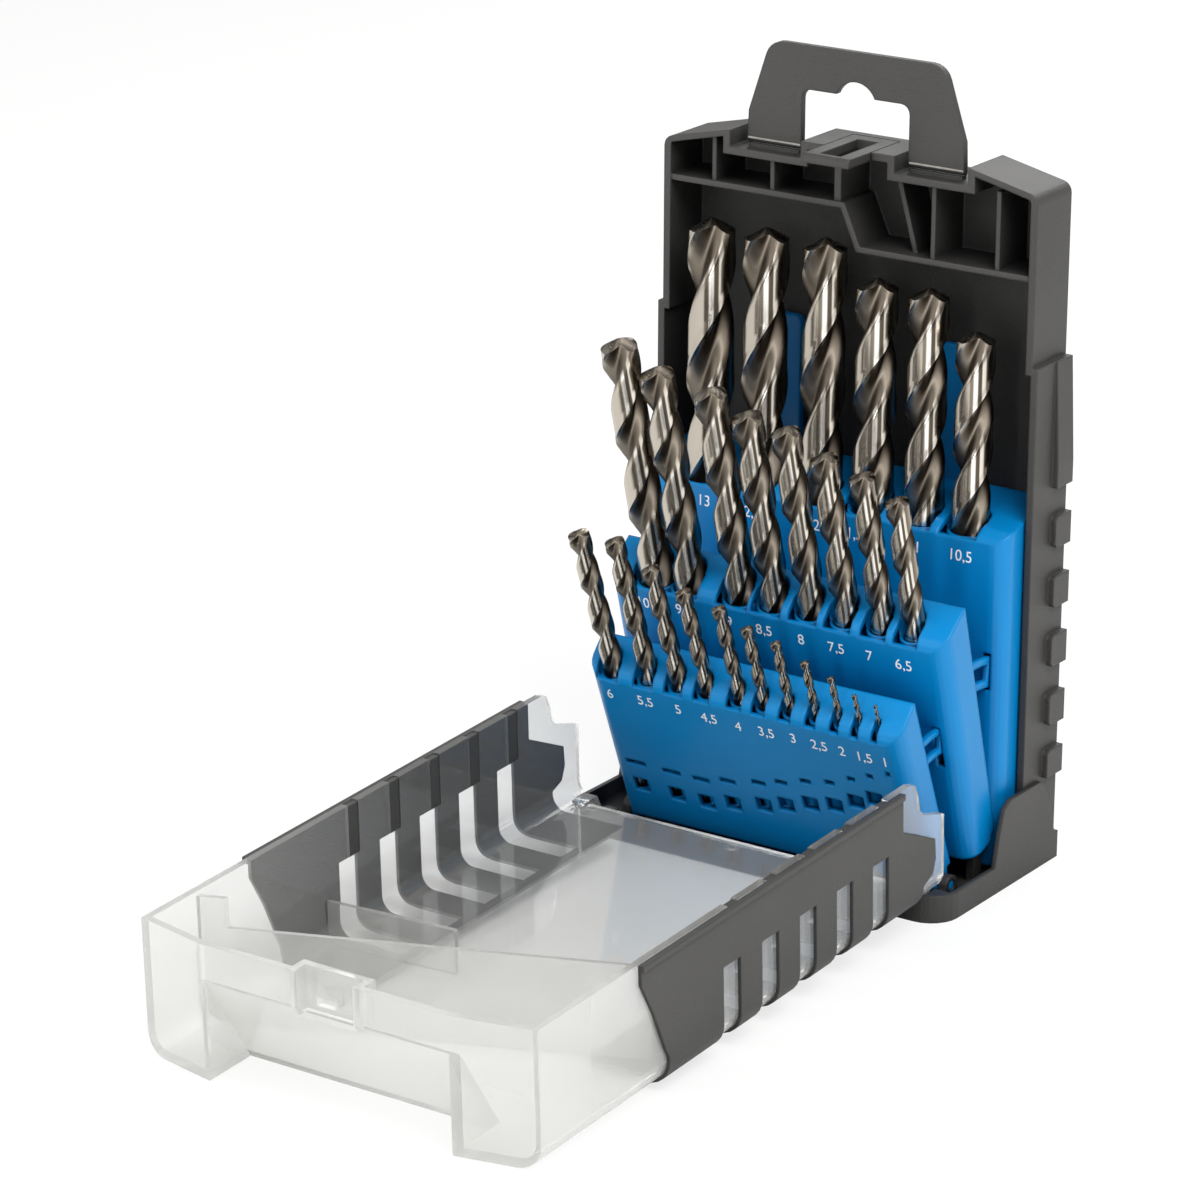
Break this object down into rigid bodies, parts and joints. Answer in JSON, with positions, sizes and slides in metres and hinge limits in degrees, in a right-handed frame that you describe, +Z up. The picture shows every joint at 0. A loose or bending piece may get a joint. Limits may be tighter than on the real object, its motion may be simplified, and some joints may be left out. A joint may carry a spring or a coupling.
{
  "type": "drill bit case",
  "caption": "Hinged drill bit case standing open, with a clear lid, fanned racks, a folding hanger, a latch and a graded set of twist drills.",
  "frame": {"origin": "middle of the foot's underside, on the surface that the case stands on", "axes": "+Z up, +Y to the flat back of the shell, +X to the right as seen from the front, where the small drills are"},
  "size_m": [0.1206, 0.2441, 0.2143],
  "materials": {
    "dark_plastic": "fine spark-eroded moulded texture",
    "blue_plastic": "moulded, slightly glossy",
    "clear_plastic": "milky clear, lightly frosted",
    "tool_steel": "bright ground flutes",
    "pin_steel": "plain drawn"
  },
  "bodies": {
    "case": {"foot_tray": "dark_plastic", "back_shell": "dark_plastic", "rack_rear": "blue_plastic", "hinge_pins": "pin_steel"},
    "lid": {"lid": "clear_plastic", "grip_left": "dark_plastic", "grip_right": "dark_plastic"},
    "middle_rack": {"rack_middle": "blue_plastic", "stay_arms_middle": "blue_plastic"},
    "front_rack": {"rack_front": "blue_plastic", "stay_arms_front": "blue_plastic"},
    "hanger": {"hanger": "dark_plastic"},
    "latch": {"latch_loop": "dark_plastic"},
    "drill_01_0": {"drill_01_0": "tool_steel"},
    "drill_01_5": {"drill_01_5": "tool_steel"},
    "drill_02_0": {"drill_02_0": "tool_steel"},
    "drill_02_5": {"drill_02_5": "tool_steel"},
    "drill_03_0": {"drill_03_0": "tool_steel"},
    "drill_03_5": {"drill_03_5": "tool_steel"},
    "drill_04_0": {"drill_04_0": "tool_steel"},
    "drill_04_5": {"drill_04_5": "tool_steel"},
    "drill_05_0": {"drill_05_0": "tool_steel"},
    "drill_05_5": {"drill_05_5": "tool_steel"},
    "drill_06_0": {"drill_06_0": "tool_steel"},
    "drill_06_5": {"drill_06_5": "tool_steel"},
    "drill_07_0": {"drill_07_0": "tool_steel"},
    "drill_07_5": {"drill_07_5": "tool_steel"},
    "drill_08_0": {"drill_08_0": "tool_steel"},
    "drill_08_5": {"drill_08_5": "tool_steel"},
    "drill_09_0": {"drill_09_0": "tool_steel"},
    "drill_09_5": {"drill_09_5": "tool_steel"},
    "drill_10_0": {"drill_10_0": "tool_steel"},
    "drill_10_5": {"drill_10_5": "tool_steel"},
    "drill_11_0": {"drill_11_0": "tool_steel"},
    "drill_11_5": {"drill_11_5": "tool_steel"},
    "drill_12_0": {"drill_12_0": "tool_steel"},
    "drill_12_5": {"drill_12_5": "tool_steel"},
    "drill_13_0": {"drill_13_0": "tool_steel"}
  },
  "joints": [
    {"name": "lid_hinge", "type": "hinge", "parent": "case", "child": "lid", "pos_m": [0, -0.0275, 0.0045], "axis": [1, 0, 0], "range_deg": [-92.6, 0]},
    {"name": "middle_rack_tilt", "type": "hinge", "parent": "case", "child": "middle_rack", "pos_m": [0, -0.0027, 0.0185], "axis": [1, 0, 0], "range_deg": [-15.8, 0]},
    {"name": "front_rack_tilt", "type": "hinge", "parent": "case", "child": "front_rack", "pos_m": [0, -0.0155, 0.0056], "axis": [1, 0, 0], "range_deg": [-22, 0]},
    {"name": "hanger_fold", "type": "hinge", "parent": "case", "child": "hanger", "pos_m": [0, 0.0175, 0.1872], "axis": [-1, 0, 0], "range_deg": [0, 90]},
    {"name": "latch_flex", "type": "hinge", "parent": "case", "child": "latch", "pos_m": [0, 0.0273, 0.1884], "axis": [-1, 0, 0], "range_deg": [0, 8], "stiffness_Nm_per_rad": 0.02},
    {"name": "drill_01_0_lift", "type": "slide", "parent": "front_rack", "child": "drill_01_0", "axis": [0, -0.3746, 0.9272], "range_m": [0, 0.0317]},
    {"name": "drill_01_5_lift", "type": "slide", "parent": "front_rack", "child": "drill_01_5", "axis": [0, -0.3746, 0.9272], "range_m": [0, 0.0358]},
    {"name": "drill_02_0_lift", "type": "slide", "parent": "front_rack", "child": "drill_02_0", "axis": [0, -0.3746, 0.9272], "range_m": [0, 0.0404]},
    {"name": "drill_02_5_lift", "type": "slide", "parent": "front_rack", "child": "drill_02_5", "axis": [0, -0.3746, 0.9272], "range_m": [0, 0.045]},
    {"name": "drill_03_0_lift", "type": "slide", "parent": "front_rack", "child": "drill_03_0", "axis": [0, -0.3746, 0.9272], "range_m": [0, 0.0444]},
    {"name": "drill_03_5_lift", "type": "slide", "parent": "front_rack", "child": "drill_03_5", "axis": [0, -0.3746, 0.9272], "range_m": [0, 0.0505]},
    {"name": "drill_04_0_lift", "type": "slide", "parent": "front_rack", "child": "drill_04_0", "axis": [0, -0.3746, 0.9272], "range_m": [0, 0.0505]},
    {"name": "drill_04_5_lift", "type": "slide", "parent": "front_rack", "child": "drill_04_5", "axis": [0, -0.3746, 0.9272], "range_m": [0, 0.0524]},
    {"name": "drill_05_0_lift", "type": "slide", "parent": "front_rack", "child": "drill_05_0", "axis": [0, -0.3746, 0.9272], "range_m": [0, 0.0528]},
    {"name": "drill_05_5_lift", "type": "slide", "parent": "front_rack", "child": "drill_05_5", "axis": [0, -0.3746, 0.9272], "range_m": [0, 0.0527]},
    {"name": "drill_06_0_lift", "type": "slide", "parent": "front_rack", "child": "drill_06_0", "axis": [0, -0.3746, 0.9272], "range_m": [0, 0.0528]},
    {"name": "drill_06_5_lift", "type": "slide", "parent": "middle_rack", "child": "drill_06_5", "axis": [0, -0.2723, 0.9622], "range_m": [0, 0.0664]},
    {"name": "drill_07_0_lift", "type": "slide", "parent": "middle_rack", "child": "drill_07_0", "axis": [0, -0.2723, 0.9622], "range_m": [0, 0.0691]},
    {"name": "drill_07_5_lift", "type": "slide", "parent": "middle_rack", "child": "drill_07_5", "axis": [0, -0.2723, 0.9622], "range_m": [0, 0.0655]},
    {"name": "drill_08_0_lift", "type": "slide", "parent": "middle_rack", "child": "drill_08_0", "axis": [0, -0.2723, 0.9622], "range_m": [0, 0.0677]},
    {"name": "drill_08_5_lift", "type": "slide", "parent": "middle_rack", "child": "drill_08_5", "axis": [0, -0.2723, 0.9622], "range_m": [0, 0.0653]},
    {"name": "drill_09_0_lift", "type": "slide", "parent": "middle_rack", "child": "drill_09_0", "axis": [0, -0.2723, 0.9622], "range_m": [0, 0.0683]},
    {"name": "drill_09_5_lift", "type": "slide", "parent": "middle_rack", "child": "drill_09_5", "axis": [0, -0.2723, 0.9622], "range_m": [0, 0.0651]},
    {"name": "drill_10_0_lift", "type": "slide", "parent": "middle_rack", "child": "drill_10_0", "axis": [0, -0.2723, 0.9622], "range_m": [0, 0.0667]},
    {"name": "drill_10_5_lift", "type": "slide", "parent": "case", "child": "drill_10_5", "axis": [0, 0, 1], "range_m": [0, 0.004]},
    {"name": "drill_11_0_lift", "type": "slide", "parent": "case", "child": "drill_11_0", "axis": [0, 0, 1], "range_m": [0, 0.004]},
    {"name": "drill_11_5_lift", "type": "slide", "parent": "case", "child": "drill_11_5", "axis": [0, 0, 1], "range_m": [0, 0.004]},
    {"name": "drill_12_0_lift", "type": "slide", "parent": "case", "child": "drill_12_0", "axis": [0, 0, 1], "range_m": [0, 0.004]},
    {"name": "drill_12_5_lift", "type": "slide", "parent": "case", "child": "drill_12_5", "axis": [0, 0, 1], "range_m": [0, 0.004]},
    {"name": "drill_13_0_lift", "type": "slide", "parent": "case", "child": "drill_13_0", "axis": [0, 0, 1], "range_m": [0, 0.004]}
  ],
  "couplings": [
    {"joint": "middle_rack_tilt", "follows": "lid_hinge", "ratio": 0.17063},
    {"joint": "front_rack_tilt", "follows": "lid_hinge", "ratio": 0.23758}
  ]
}
